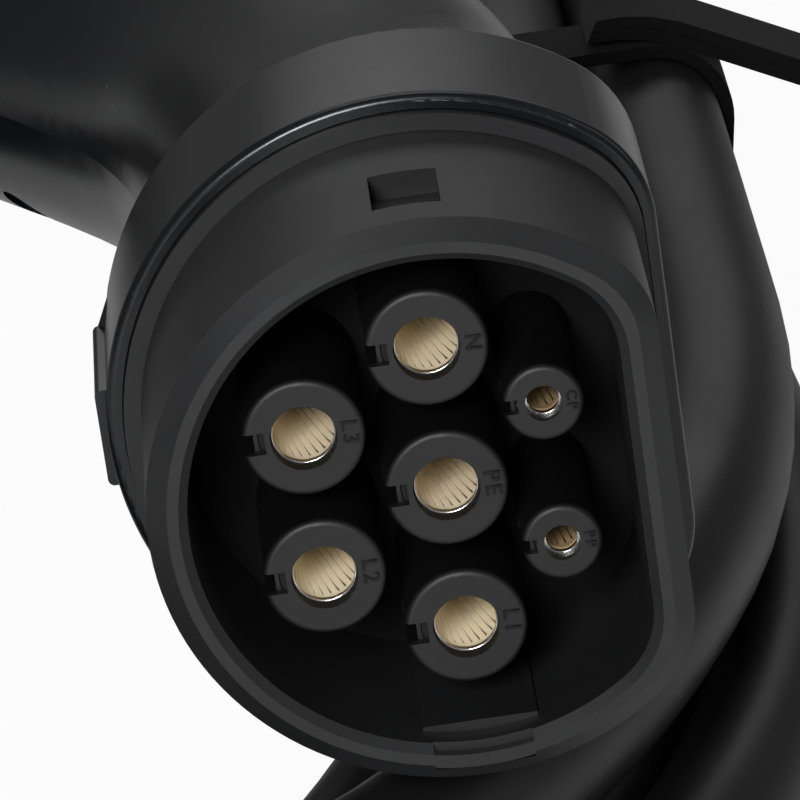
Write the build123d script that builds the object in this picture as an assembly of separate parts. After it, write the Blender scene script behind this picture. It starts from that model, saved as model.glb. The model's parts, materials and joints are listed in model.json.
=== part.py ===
from build123d import *
import math
import os

# Three-phase charging plug with a pistol grip, seven socket contacts and its own lead, lying on its
# side on the folded lead. Millimetres. +Z is up as it lies, -Y is the mating direction, +X is the
# side that is uppermost in use (the flat of the D). The origin is the mouth of the earth contact.

# ---- contact pattern ----
pitch = 15.0                # between neighbours in a row
phase_row = 13.2            # from the middle row down to the two outer phase contacts
pilot_row = 10.6            # from the middle row up to the two pilot contacts
power_pin = 6.0             # diameter of the mating power pins
pilot_pin = 3.0             # diameter of the mating pilot pins
pin_clearance = 0.35        # radial, pin to plastic mouth
lip_clearance = 0.15        # radial, pin to contact lip
power_tower = 12.2          # diameter of a power contact's tower
pilot_tower = 8.0           # diameter of a pilot contact's tower
mouth_depth = 1.2           # plastic in front of the contact
key_share = 0.37            # width of a tower's key slot, as a share of its radius
key_length = 7.0            # length of the slot
fit = 0.1                   # clearance between parts that slot together

# ---- D-shaped sleeve ----
sleeve_r = 29.75            # outside radius
sleeve_flat = 22.6          # outside flat, from the centre
wall = 4.05                 # wall all round
corner = 11.0               # rounding where arc and flat meet
rim_front = -4.9            # the rim stands proud of the contact towers
rim_bevel = 2.0             # outer bevel of the rim
lead_in = 0.9               # inner chamfer of the rim
cavity_floor = 21.0         # depth of the sleeve's cavity
sleeve_end = 42.0           # end of the part inside the housing
collar_r = 31.5             # collar at the housing's mouth
collar = (22.2, 26.0)
lock_size = (6.8, 9.6)      # locking recess, across and along
lock_start = 1.2
lock_depth = 2.7
lock_wall = 2.4             # wall that carries the recess into the cavity
notch_width = 10.0          # polarising notch in the lower rim
notch_depth = 1.5

# ---- carrier and retainer ----
carrier_plate = 5.0
contact_collar = 3.9
retainer_plate = 3.0
screw_r = 1.5

# ---- housing ----
band_r = 33.2               # front band
band_flat = 25.0
band_corner = 13.0
band = (23.4, 46.0)
shell = 2.8                 # wall of the two half shells
grip_angle = 35.0           # grip to mating axis
grip_root = (-26.4, 140.6)  # a point on the grip's axis
grip_end = 75.9             # from that point to the end of the grip
end_wall = 4.0
keel = (1.3, 8.5)           # raised keel under the band: height, half width
boss_r = 3.4                # posts that carry the housing screws
boss_floor = -9.0           # where a screw's head sits
head_r, head_height = 2.9, 2.0
tip = 8.0                   # how far a housing screw reaches above the parting plane
shank_r, screw_hole_r = 1.2, 1.25
ear_top = 5.0               # top of the cable clamp's ears
clamp_place = 34.0          # middle of the clamp along the grip's axis
gland_r = 17.0
gland_ribs = 18
boot_root_r, boot_tip_r = 12.2, 10.0
boot_rings = 6

# ---- lead ----
lead_r = 8.5
gland_length = 13.0
boot_length = 48.0
bundle_width = 50.0         # two turns side by side, loosely laid
bundle_height = 35.0        # two turns on each other
bundle_round = 8.4
bundle_top = -33.25         # the band lies on the folded lead
fold_right = 32.5           # middle of the bundle on its right side
fold_start = 134.0          # where the gentle near curve begins
fold_far = 372.0            # centre of the far end
near_radius, near_turn, near_end_radius = 205.0, 35.0, 82.0
ties = (224.5, 130.0)       # places of the right and the left tie along Y
tie_thick, tie_width = 2.0, 25.0
sheath_start = 16.0         # where the lead's sheath begins, along the grip's axis

# Route of the lead from the mouth of the boot to where it joins the folded turns.
lead_route = [
    (-104.93, 252.75, 0.0),
    (-123.28, 278.96, 0.0),
    (-143.0, 312.0, -9.0),
    (-154.0, 350.0, -26.0),
    (-157.0, 385.0, -41.0),
]
# Route of the free end, from the folded turns out along the surface.
tail_route = [
    (-169.0, 205.0, -59.75),
    (-179.0, 247.0, -59.75),
    (-192.0, 287.0, -59.75),
    (-202.0, 329.0, -59.75),
    (-206.0, 372.0, -59.75),
]

# ---- derived ----
G = math.radians(grip_angle)
grip_dir = (-math.sin(G), math.cos(G))
grip_out = (math.cos(G), math.sin(G))
sleeve_in_r = sleeve_r - wall
sleeve_in_flat = sleeve_flat - wall
plate_back = cavity_floor + carrier_plate
retainer_front = plate_back + contact_collar
retainer_back = retainer_front + retainer_plate
surface = bundle_top - bundle_height

POWER = {
    "pe": (0.0, 0.0),
    "n": (0.0, pitch),
    "l1": (0.0, -pitch),
    "l3": (-phase_row, pitch / 2),
    "l2": (-phase_row, -pitch / 2),
}
PILOT = {"cp": (pilot_row, pitch / 2), "pp": (pilot_row, -pitch / 2)}


def grip_point(t, across=0.0, z=0.0):
    """A point t along the grip's axis and `across` from it, towards +X."""
    x = grip_root[0] + t * grip_dir[0] + across * grip_out[0]
    y = grip_root[1] + t * grip_dir[1] + across * grip_out[1]
    return (x, y, z)


def grip_plane(t, across=0.0, z=0.0):
    """A plane across the grip, facing along it."""
    return Plane(origin=grip_point(t, across, z), x_dir=(*grip_out, 0), z_dir=(*grip_dir, 0))


def along(shape, near, far):
    """Extrude a sketch in X and Z from y = near to y = far."""
    return extrude(Plane.XZ.offset(-far) * shape, amount=far - near)


def d_face(radius, flat, round_by):
    """The D outline: a circle cut by a flat on +X, with rounded corners."""
    half = math.sqrt(radius**2 - flat**2)
    face = Circle(radius) - Pos(flat + radius, 0) * Rectangle(2 * radius, 4 * radius)
    corners = [v for v in face.vertices() if abs(abs(v.Y) - half) < 0.01 and abs(v.X - flat) < 0.01]
    return fillet(corners, round_by)


def tower_list():
    """Every contact: name, place, pin radius and tower radius."""
    rows = [(n, p, power_pin / 2, power_tower / 2) for n, p in POWER.items()]
    return rows + [(n, p, pilot_pin / 2, pilot_tower / 2) for n, p in PILOT.items()]


def barrel_r(pin):
    """Outside radius of the contact barrel round a pin of this radius."""
    return pin * 1.15 + 1.0


def lock_box(side, grow=0.0):
    """The locking recess on one side, or the block of wall behind it."""
    across, length = lock_size
    height = lock_depth + grow
    z = side * (sleeve_r - lock_depth - grow + height / 2 + 1)
    body = Box(across + 2 * grow, length + 2 * grow, height + 2)
    return Pos(0, lock_start + length / 2, z) * body


def make_sleeve():
    """The D-shaped sleeve with its collar, locking recesses and polarising notch."""
    outer = along(d_face(sleeve_r, sleeve_flat, corner), rim_front, collar[0])
    outer = chamfer(outer.faces().sort_by(Axis.Y)[0].edges(), rim_bevel * 0.85, rim_bevel)
    body = outer + along(d_face(collar_r, band_flat - 1.4, corner + 1), *collar)
    body += along(d_face(sleeve_r - 1.0, sleeve_flat - 0.9, corner), collar[1], sleeve_end)
    cavity = along(d_face(sleeve_in_r, sleeve_in_flat, corner - 2), rim_front, cavity_floor)
    inner = along(d_face(sleeve_in_r + 0.8, sleeve_in_flat + 0.8, corner - 1), cavity_floor, sleeve_end)
    block = along(d_face(sleeve_r - 1, sleeve_flat - 1, corner), rim_front, cavity_floor)
    for side in (1, -1):
        cavity -= lock_box(side, lock_wall) & block
    body -= cavity + inner
    rim = body.faces().filter_by(Axis.Y).sort_by(Axis.Y)[0]
    body = chamfer(rim.inner_wires()[0].edges(), lead_in)
    for side in (1, -1):
        body -= lock_box(side)
    notch = Box(notch_width, 2.4, 2 * notch_depth)
    return body - Pos(0, rim_front, -sleeve_in_r - lead_in) * notch


def make_carrier():
    """The contact carrier: a plate with one tower for each contact, each keyed on its lower side."""
    plate_r = sleeve_in_r + 0.8 - fit
    body = along(d_face(plate_r, sleeve_in_flat + 0.8 - fit, corner - 1), cavity_floor, plate_back)
    for _, (x, z), pin, tower in tower_list():
        post = along(Pos(x, z) * Circle(tower), 0, cavity_floor + 1)
        front = post.faces().sort_by(Axis.Y)[0]
        body += fillet(front.edges(), 0.6)
    for _, (x, z), pin, tower in tower_list():
        body -= along(Pos(x, z) * Circle(pin + pin_clearance), -1, 2)
        body -= along(Pos(x, z) * Circle(barrel_r(pin) + fit), mouth_depth, plate_back + 1)
        key = tower * key_share
        for depth, inward in ((mouth_depth, key), (key_length, tower - barrel_r(pin) - fit - 0.4)):
            body -= Pos(x - tower, 0, z) * Box(2 * inward, 2 * depth, key)
    for x, z in retainer_screw_places():
        body -= along(Pos(x, z) * Circle(screw_r), plate_back - 3.5, plate_back)
    return body


def retainer_screw_places():
    """Three screws that hold the retainer, clear of every contact."""
    edge = sleeve_in_r - 4.2
    return [(-edge, 0), (edge * 0.6, edge * 0.86), (edge * 0.6, -edge * 0.86)]


def make_retainer():
    """The plate that locks the contacts in the carrier."""
    radius, flat = sleeve_in_r + 0.8 - fit, sleeve_in_flat + 0.8 - fit
    body = along(d_face(radius, flat, corner - 1), retainer_front, retainer_back)
    for _, (x, z), pin, _ in tower_list():
        body -= along(Pos(x, z) * Circle(barrel_r(pin) - 0.8 + fit), retainer_front - 1, retainer_back + 1)
    for x, z in retainer_screw_places():
        body -= along(Pos(x, z) * Circle(screw_r + fit), retainer_front - 1, retainer_back + 1)
        body += along(Pos(x, z) * (Circle(3.2) - Circle(screw_r + fit)), plate_back, retainer_front)
    return body


def make_contact(pin, mouth):
    """A turned contact: barrel with a lip, locking collar, shank and crimp barrel."""
    r = barrel_r(pin)
    bore = pin * 1.15 + 0.35
    body = along(Circle(r), mouth + fit, plate_back)
    body += along(Circle(r + 0.9), plate_back, retainer_front)
    body += along(Circle(r - 0.8), retainer_front, retainer_back + 3)
    body += along(Circle(r - 0.3), retainer_back + 3, crimp_end())
    body -= along(Circle(pin + lip_clearance), mouth, mouth + 2)
    body -= along(Circle(bore), mouth + 1.1, cavity_floor - 1)
    return body - along(Circle(core_r(pin)), crimp_end() - 8, crimp_end() + 1)


def crimp_end():
    """Where the crimp barrels end."""
    return retainer_back + 14


def core_r(pin):
    """Radius of the insulated core that a contact takes."""
    return 2.3 if pin > 2 else 1.25


def make_crown(pin, strips):
    """A crown spring: two rings joined by slanted strips, whose waist grips the pin."""
    bore = pin * 1.15 + 0.35
    end_r = bore - 0.38
    half_turn = math.degrees(math.acos((pin - 0.02) / end_r))
    thick, front, back = 0.2, mouth_depth + 1.6, cavity_floor - 3
    gap = 2 * math.pi * pin / strips
    ring = Circle(bore - 0.05) - Circle(bore - 0.4)
    crown = along(ring, front, front + 1) + along(ring, back - 1, back)
    slide = 2 * end_r * math.sin(math.radians(half_turn))
    length = math.hypot(back - front - 1, slide)
    lean = math.degrees(math.atan2(slide, back - front - 1))
    middle = (front + back) / 2
    bars = []
    for k in range(strips):
        strip = Box(gap * 0.74, length, thick)
        strip = Pos(0, middle, pin + thick / 2 - 0.04) * Rot(0, 0, lean) * strip
        bars.append(Rot(0, k * 360 / strips, 0) * strip)
    return crown.fuse(*bars)


def grip_sections(inset, start_shift=0.0, end_shift=0.0):
    """Ellipses along the body: centre, heading, half width in plan and half height."""
    gx, gy = grip_root
    rows = [
        (-1.0, band[1] - 6 + start_shift, 0, 27.0, 29.0),
        (-2.5, 60.0, 0, 24.5, 27.5),
        (-4.0, 84.0, 5, 23.5, 26.0),
        (-8.5, 108.0, 20, 23.0, 24.5),
        (-18.0, 128.0, 32, 21.0, 22.5),
    ]
    for t, wide, high in ((10, 19.5, 21.0), (42, 18.0, 20.0), (grip_end + end_shift, 18.5, 20.0)):
        rows.append((gx + t * grip_dir[0], gy + t * grip_dir[1], grip_angle, wide, high))
    faces = []
    for x, y, heading, wide, high in rows:
        a = math.radians(heading)
        plane = Plane(
            origin=(x, y, 0),
            x_dir=(math.cos(a), math.sin(a), 0),
            z_dir=(-math.sin(a), math.cos(a), 0),
        )
        faces.append(plane * Ellipse(wide - inset, high - inset))
    return faces


def screw_bosses():
    """Places of the bosses that join the half shells, in plan."""
    return [
        (15.6, 66.0),
        (-20.8, 66.0),
        grip_point(12, 12.5)[:2],
        grip_point(12, -12.5)[:2],
        grip_point(58, 12.0)[:2],
        grip_point(58, -12.0)[:2],
    ]



def make_housing():
    """The hollow housing, whole: front band, keel, barrel and grip."""
    front = along(d_face(band_r, band_flat, band_corner), *band)
    front = fillet(front.faces().sort_by(Axis.Y)[0].edges(), 0.8)
    front = fillet(front.faces().sort_by(Axis.Y)[-1].edges(), 2.0)
    height, half = keel
    ridge = Pos(-band_r - height + 6, sum(band) / 2 + 1, 0) * Box(12, band[1] - band[0] - 4, 2 * half)
    front += fillet(ridge.edges().filter_by(Axis.Y), 1.2)
    body = front + loft(grip_sections(0))
    solid = body
    body -= loft(grip_sections(shell, 1.0, -end_wall))
    body -= along(d_face(collar_r + 0.15, band_flat - 1.25, corner + 1), band[0] - 1, collar[1] + 0.2)
    body -= along(d_face(sleeve_r - 0.9, sleeve_flat - 0.8, corner), collar[1], band[1] - 4)
    body -= along(Circle(24.0), band[1] - 5, band[1] + 4)
    body -= extrude(grip_plane(grip_end - end_wall - 1) * Circle(gland_bore()), amount=end_wall + 4)
    bosses = [Pos(x, y, 0) * Cylinder(boss_r, 60) for x, y in screw_bosses()]
    clamp_seat = grip_plane(clamp_place, 0, -9.5) * Box(28, 10, 17)
    posts = (Part() + bosses + clamp_seat) & solid
    return body + posts - lead_hole(clamp_place - 10, clamp_place + 10)


def lead_hole(start, stop):
    """The channel of the lead between two places on the grip's axis."""
    return extrude(grip_plane(start) * Circle(lead_r), amount=stop - start)


def clamp_screws():
    """The two clamp screws, each side of the lead."""
    return [grip_plane(clamp_place, side * (lead_r + 3.4)) for side in (1, -1)]


def gland_bore():
    """Bore of the grip's end wall, which the boot's root fills."""
    return lead_r + 4.0


def halves():
    """The two half shells with their screw holes."""
    whole = make_housing()
    for x, y in screw_bosses():
        whole -= Pos(x, y, (tip + boss_floor) / 2) * Cylinder(screw_hole_r, tip - boss_floor)
        whole -= Pos(x, y, boss_floor - 20) * Cylinder(head_r + fit, 40)
    for plane in clamp_screws():
        at = plane.origin
        whole -= Pos(at.X, at.Y, (ear_top - 10) / 2) * Cylinder(screw_hole_r, ear_top + 10)
    upper = whole & Pos(0, 120, 100) * Box(400, 400, 200)
    lower = whole & Pos(0, 120, -100) * Box(400, 400, 200)
    return upper, lower


def housing_screws():
    """Screws that join the half shells, driven from the lower side."""
    parts = []
    for x, y in screw_bosses():
        shank = Pos(x, y, (tip + boss_floor) / 2) * Cylinder(shank_r, tip - boss_floor)
        head = Pos(x, y, boss_floor - head_height / 2) * Cylinder(head_r, head_height)
        socket = Pos(x, y, boss_floor - head_height) * extrude(RegularPolygon(1.3, 6), amount=1.2)
        parts.append(shank + head - socket)
    return Compound(children=parts)


def clamp_parts():
    """The saddle over the lead, with an ear each side, and its two screws."""
    arch = extrude(grip_plane(clamp_place - 4.5) * Circle(lead_r + 2.2), amount=9)
    arch &= grip_plane(clamp_place, 0, 10 + ear_top - 3) * Box(40, 20, 40)
    ears = grip_plane(clamp_place, 0, ear_top - 1.5) * Box(27.6, 3, 9)
    saddle = arch + ears - lead_hole(clamp_place - 9, clamp_place + 9)
    screws = []
    for plane in clamp_screws():
        at = plane.origin
        saddle -= Pos(at.X, at.Y, 0) * Cylinder(screw_hole_r, 40)
        shank = Pos(at.X, at.Y, (ear_top - 9) / 2) * Cylinder(shank_r, ear_top + 9)
        screws.append(shank + Pos(at.X, at.Y, ear_top + 0.7) * Cylinder(2.1, 1.4))
    return saddle, Compound(children=screws)


def make_gland():
    """The ribbed nut on the grip's end."""
    body = extrude(grip_plane(grip_end) * Circle(gland_r), amount=gland_length)
    body = chamfer(body.faces().sort_by(Axis((0, 0, 0), (*grip_dir, 0)))[-1].edges(), 3.0)
    body -= extrude(grip_plane(grip_end) * Circle(gland_bore() + fit), amount=gland_length + 1)
    for k in range(gland_ribs):
        spin = Rot(0, 0, k * 360 / gland_ribs)
        groove = grip_plane(grip_end + 1) * spin * Pos(gland_r + 0.2, 0) * Circle(1.0)
        body -= extrude(groove, amount=gland_length)
    return body


def make_boot():
    """The tapered bend-relief boot, ringed so that it bends evenly."""
    start, stop = grip_end - end_wall, grip_end + gland_length + boot_length
    root = extrude(grip_plane(start) * Circle(gland_bore() - fit), amount=gland_length + end_wall)
    neck = grip_end + gland_length
    body = root + loft([grip_plane(neck) * Circle(boot_root_r), grip_plane(stop) * Circle(boot_tip_r)])
    for k in range(boot_rings):
        at = neck + 5 + k * (boot_length - 8) / boot_rings
        radius = boot_root_r - (boot_root_r - boot_tip_r) * (at - neck) / boot_length
        body -= extrude(grip_plane(at) * (Circle(20) - Circle(radius - 1.4)), amount=3.0)
    return body - lead_hole(start - 1, stop + 1)


def wire_places():
    """Places of the cores in the lead, across and up, in the order of the contacts."""
    ring = 5.35
    places = {}
    for name, a in (("pe", 0), ("n", 72), ("l3", 144), ("l2", 216), ("l1", 288)):
        places[name] = (ring * math.cos(math.radians(a)), ring * math.sin(math.radians(a)))
    places["cp"] = (6.7 * math.cos(math.radians(36)), 6.7 * math.sin(math.radians(36)))
    return places


def make_wire(name):
    """One insulated core from its crimp barrel to the end of the lead's sheath."""
    x, z = {**POWER, **PILOT}[name]
    across, up = wire_places()[name]
    radius = core_r(1.5 if name in PILOT else 3.0) - fit
    start = crimp_end() - 7
    middle = ((x + across) / 2 - 8, 104.0, (z + up) / 2)
    points = [(x, start, z), (x, start + 16, z), middle, grip_point(sheath_start, across, up)]
    path = FilletPolyline(*points, radius=14)
    return sweep(Plane(origin=points[0], z_dir=(0, 1, 0)) * Circle(radius), path)


def bend_radii(route):
    """Radius at each corner: 0.45 of the shorter run over the tangent of half the turn."""
    vectors = [Vector(*p) for p in route]
    radii = []
    for a, b, c in zip(vectors, vectors[1:], vectors[2:]):
        turn = math.radians((b - a).get_angle(c - b))
        radii.append(0.45 * min((b - a).length, (c - b).length) / math.tan(turn / 2))
    return radii


def make_tube(route, label):
    """A length of the lead along straight runs joined by tangent arcs."""
    radii = bend_radii(route)
    path = FilletPolyline(*route, radius=radii)
    start = Plane(origin=route[0], z_dir=Vector(*route[1]) - Vector(*route[0]))
    tube = sweep(start * Circle(lead_r), path)
    share = tube.volume / (math.pi * lead_r**2 * path.length)
    turns = [round(r, 1) for r in radii]
    print(f"{label}: radii {turns}, length {path.length:.1f}, volume share {share:.4f}")
    return tube


def fold_wire():
    """Middle line of the folded turns, in plan, as one closed outline."""
    a, half = math.radians(near_turn), math.radians(near_turn / 2)
    top = (fold_right, fold_start)
    bend = [
        (fold_right - near_radius * (1 - math.cos(t)), fold_start - near_radius * math.sin(t))
        for t in (half, a)
    ]
    cx = bend[1][0] - near_end_radius * math.cos(a)
    cy = bend[1][1] + near_end_radius * math.sin(a)
    left = cx - near_end_radius
    far_r = (fold_right - left) / 2
    return Wire([
        ThreePointArc(top, *bend),
        ThreePointArc(bend[1], (cx, cy - near_end_radius), (left, cy)),
        Line((left, cy), (left, fold_far)),
        ThreePointArc((left, fold_far), (left + far_r, fold_far + far_r), (fold_right, fold_far)),
        Line((fold_right, fold_far), top),
    ])


def make_bundle():
    """The folded turns of the lead, as one closed solid."""
    line = fold_wire()
    outer = make_face(offset(line, bundle_width / 2))
    inner = make_face(offset(line, -bundle_width / 2))
    ring = extrude(Pos(0, 0, surface) * (outer - inner), amount=bundle_height)
    flats = ring.faces().filter_by(Axis.Z)
    return fillet(flats.edges(), bundle_round)


def make_tie(x, y, side):
    """A hook-and-loop tie round the bundle with a loose double tail, side +1 or -1 in X."""
    thick, half = tie_thick, bundle_height / 2
    loop = RectangleRounded(bundle_width + 2 * thick, bundle_height + 2 * thick, bundle_round + thick)
    loop -= RectangleRounded(bundle_width, bundle_height, bundle_round)
    loop &= Pos(0, 2 * thick) * Rectangle(2 * bundle_width, bundle_height + 4 * thick)
    hump = ThreePointArc((-21, half + 1.2), (-18, half + 8.5), (-11, half + 11.9))
    tail = trace(hump + Line((-11, half + 11.9), (38, half - 10.1)), line_width=2 * thick)
    band = along(loop + tail, y - tie_width / 2, y + tie_width / 2)
    band = band if side > 0 else mirror(band, Plane.YZ)
    return Pos(x, 0, surface + half) * band


def lead_end():
    """Sheath-end sleeve, cores and ferrules at the free end of the lead."""
    a, b = (Vector(*p) for p in tail_route[-2:])
    heading = (b - a).normalized()
    plane = Plane(origin=b, x_dir=heading.cross(Vector(0, 0, 1)), z_dir=heading)
    back = Plane(origin=b - heading * 22, x_dir=plane.x_dir, z_dir=heading)
    sleeve = extrude(back * (Circle(lead_r + 0.8) - Circle(lead_r)), amount=24)
    cores, ferrules = [], []
    for name, (across, up) in wire_places().items():
        radius = core_r(1.5 if name in PILOT else 3.0) - fit
        spot = plane * Pos(across, up)
        cores.append(extrude(spot * Circle(radius), amount=42))
        tip_plane = Plane(origin=b + heading * 42, x_dir=plane.x_dir, z_dir=heading)
        ferrules.append(extrude(tip_plane * Pos(across, up) * Circle(radius * 0.62), amount=14))
    return sleeve, Compound(children=cores), Compound(children=ferrules)


def make_resistor():
    """The coding resistor on the back of the proximity contact."""
    x, z = PILOT["pp"]
    body = along(Pos(x, z) * Circle(1.6), crimp_end() + 2, crimp_end() + 9)
    return body + along(Pos(x, z) * Circle(0.4), crimp_end() - 8, crimp_end() + 13)


def build_all():
    """Every node of the plug and its lead, by name."""
    nodes = {"mating_sleeve": make_sleeve(), "contact_carrier": make_carrier()}
    nodes["contact_retainer"] = make_retainer()
    for kind, places, pin, strips in (("power", POWER, power_pin, 14), ("pilot", PILOT, pilot_pin, 8)):
        contact, crown = make_contact(pin / 2, mouth_depth), make_crown(pin / 2, strips)
        for name, (x, z) in places.items():
            nodes[f"contact_{name}"] = Pos(x, 0, z) * contact
            nodes[f"crown_{name}"] = Pos(x, 0, z) * crown
    screws = []
    for x, z in retainer_screw_places():
        shank = along(Pos(x, z) * Circle(screw_r - 0.02), plate_back - 3.4, retainer_back)
        screws.append(shank + along(Pos(x, z) * Circle(2.7), retainer_back, retainer_back + 2.2))
    nodes["retainer_screws"] = Compound(children=screws)
    nodes["housing_upper"], nodes["housing_lower"] = halves()
    nodes["housing_screws"] = housing_screws()
    nodes["clamp_saddle"], nodes["clamp_screws"] = clamp_parts()
    nodes["gland_nut"], nodes["bend_boot"] = make_gland(), make_boot()
    for name in wire_places():
        nodes[f"wire_{name}"] = make_wire(name) - lead_hole(sheath_start, clamp_place)
    nodes["coding_resistor"] = make_resistor()
    tie_right = make_tie(fold_right, ties[0], 1)
    tie_left = make_tie(fold_wire().bounding_box().min.X, ties[1], -1)
    bundle = make_bundle()
    held = lead_hole(sheath_start, grip_end + gland_length + boot_length)
    nodes["lead_in_grip"] = held
    nodes["lead_tube"] = make_tube(lead_route, "lead") - bundle
    nodes["lead_tail"] = make_tube(tail_route, "tail") - bundle
    nodes["lead_bundle"] = bundle - tie_right - tie_left
    nodes["tie_right"], nodes["tie_left"] = tie_right, tie_left
    nodes["end_sleeve"], nodes["end_cores"], nodes["end_ferrules"] = lead_end()
    return nodes


os.makedirs("parts", exist_ok=True)
for node, shape in build_all().items():
    export_step(shape, f"parts/{node}.step")
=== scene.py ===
"""Looks of a three-phase charging plug that lies on its own folded lead.

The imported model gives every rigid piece. This script dresses those pieces, builds the sprung crowns,
the raised contact letters, the trim of rim and band, the ties and the lead, and lights the whole on a
pale floor.
"""

import json
import logging
import math
from dataclasses import dataclass, field
from enum import Enum

import bmesh
import bpy
from mathutils import Matrix, Vector

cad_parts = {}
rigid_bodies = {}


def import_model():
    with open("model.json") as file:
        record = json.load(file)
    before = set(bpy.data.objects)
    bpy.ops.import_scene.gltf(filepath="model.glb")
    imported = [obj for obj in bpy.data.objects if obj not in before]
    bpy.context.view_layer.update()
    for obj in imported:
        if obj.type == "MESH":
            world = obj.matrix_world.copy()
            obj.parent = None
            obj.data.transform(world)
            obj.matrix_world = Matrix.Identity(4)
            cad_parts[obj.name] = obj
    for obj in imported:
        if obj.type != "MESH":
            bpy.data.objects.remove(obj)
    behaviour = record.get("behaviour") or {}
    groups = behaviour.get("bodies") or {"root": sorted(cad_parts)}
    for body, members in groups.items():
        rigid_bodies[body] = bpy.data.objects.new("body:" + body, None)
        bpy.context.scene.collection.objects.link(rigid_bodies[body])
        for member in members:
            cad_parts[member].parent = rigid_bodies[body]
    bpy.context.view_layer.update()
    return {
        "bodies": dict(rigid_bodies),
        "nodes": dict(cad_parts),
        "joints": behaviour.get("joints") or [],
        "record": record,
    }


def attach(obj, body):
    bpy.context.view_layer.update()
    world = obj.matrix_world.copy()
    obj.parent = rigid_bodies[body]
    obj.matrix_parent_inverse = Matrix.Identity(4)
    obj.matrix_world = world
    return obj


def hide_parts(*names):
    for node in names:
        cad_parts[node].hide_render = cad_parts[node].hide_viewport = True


LOG = logging.getLogger("plug")
MM = 0.001
BODY = "root"
Point = tuple[float, float, float]
Colour = tuple[float, float, float]
Nodes = bpy.types.Nodes
Links = bpy.types.NodeLinks
Node = bpy.types.Node
Socket = bpy.types.NodeSocket


class Surface(Enum):
    """The kinds of relief that a finish can carry."""

    MOULDED = "moulded"
    SATIN = "satin"
    SHEATH = "sheath"
    WOVEN = "woven"
    TURNED = "turned"
    SMOOTH = "smooth"


# ------------------------------------------------------------------ finishes


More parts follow.
